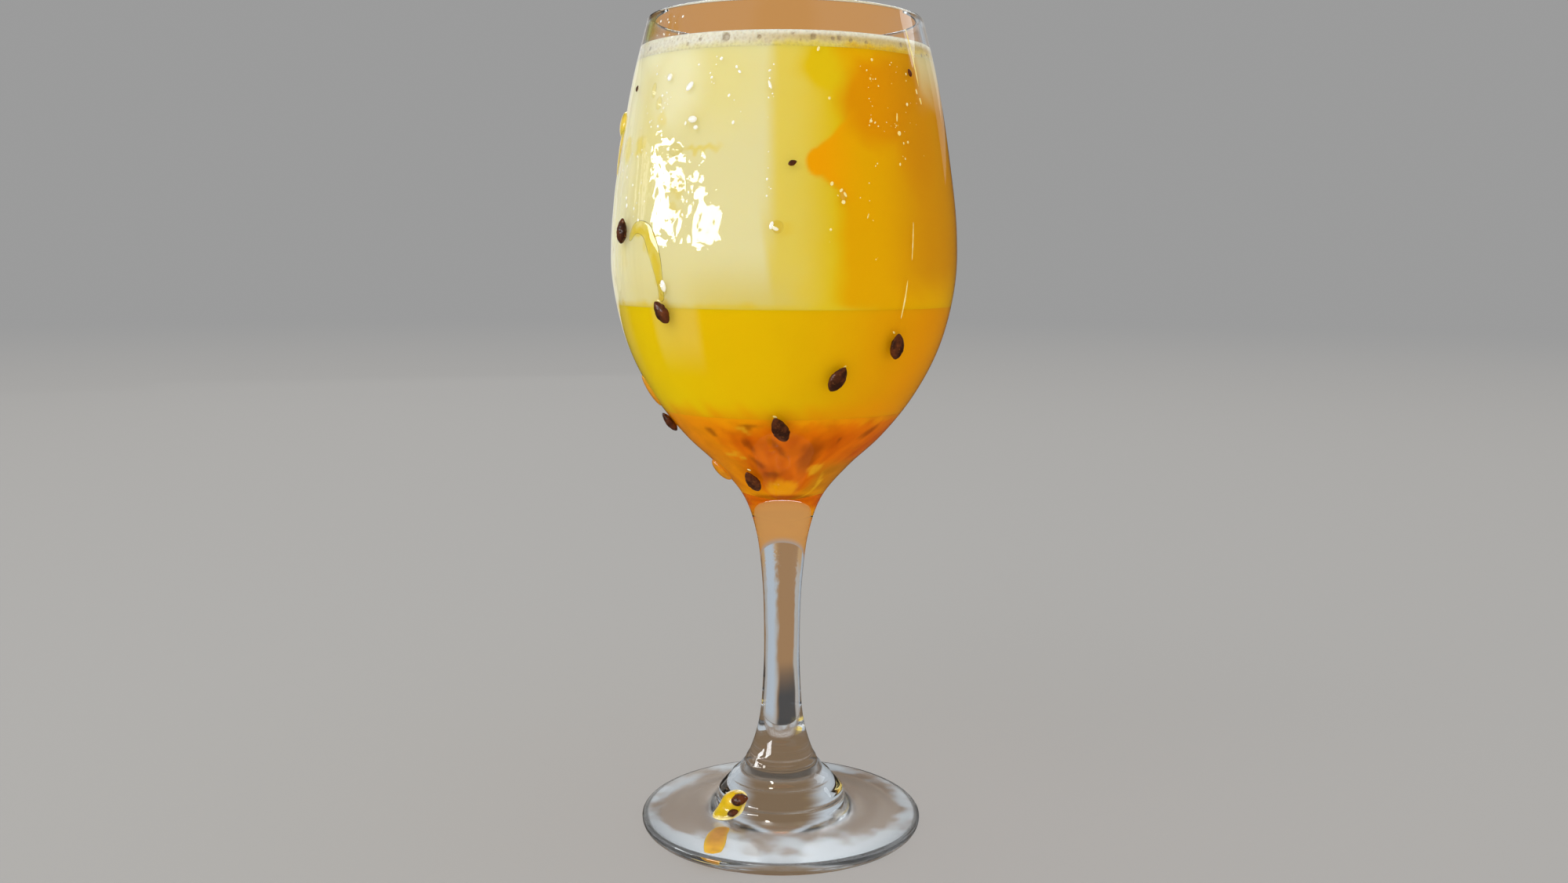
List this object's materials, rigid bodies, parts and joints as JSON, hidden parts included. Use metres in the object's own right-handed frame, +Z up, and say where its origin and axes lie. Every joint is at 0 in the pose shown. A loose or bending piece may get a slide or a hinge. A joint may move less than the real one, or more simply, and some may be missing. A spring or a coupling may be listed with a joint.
{
  "type": "glass of passion fruit drink",
  "caption": "Clear stemmed wine glass filled with a layered passion fruit drink, foam on top, with pulp drips and dark seeds on its outside.",
  "frame": {"origin": "on the glass's axis, in the plane that its foot stands on", "axes": "+Z up along the stem; -Y towards the side that the picture shows, +X to its right"},
  "size_m": [0.084, 0.084, 0.1995],
  "materials": {
    "clear_glass": "clear, polished, wet on one side",
    "pulp": "cloudy orange pulp",
    "juice": "golden yellow juice",
    "milky_drink": "pale creamy yellow, orange towards one side",
    "foam": "pale foam of fine bubbles",
    "seed": "dark brown, glossy, wet",
    "wet_pulp": "translucent yellow pulp and juice"
  },
  "bodies": {
    "root": {"glass": "clear_glass", "pulp_layer": "pulp", "juice_layer": "juice", "milky_layer": "milky_drink", "foam": "foam"}
  },
  "joints": []
}
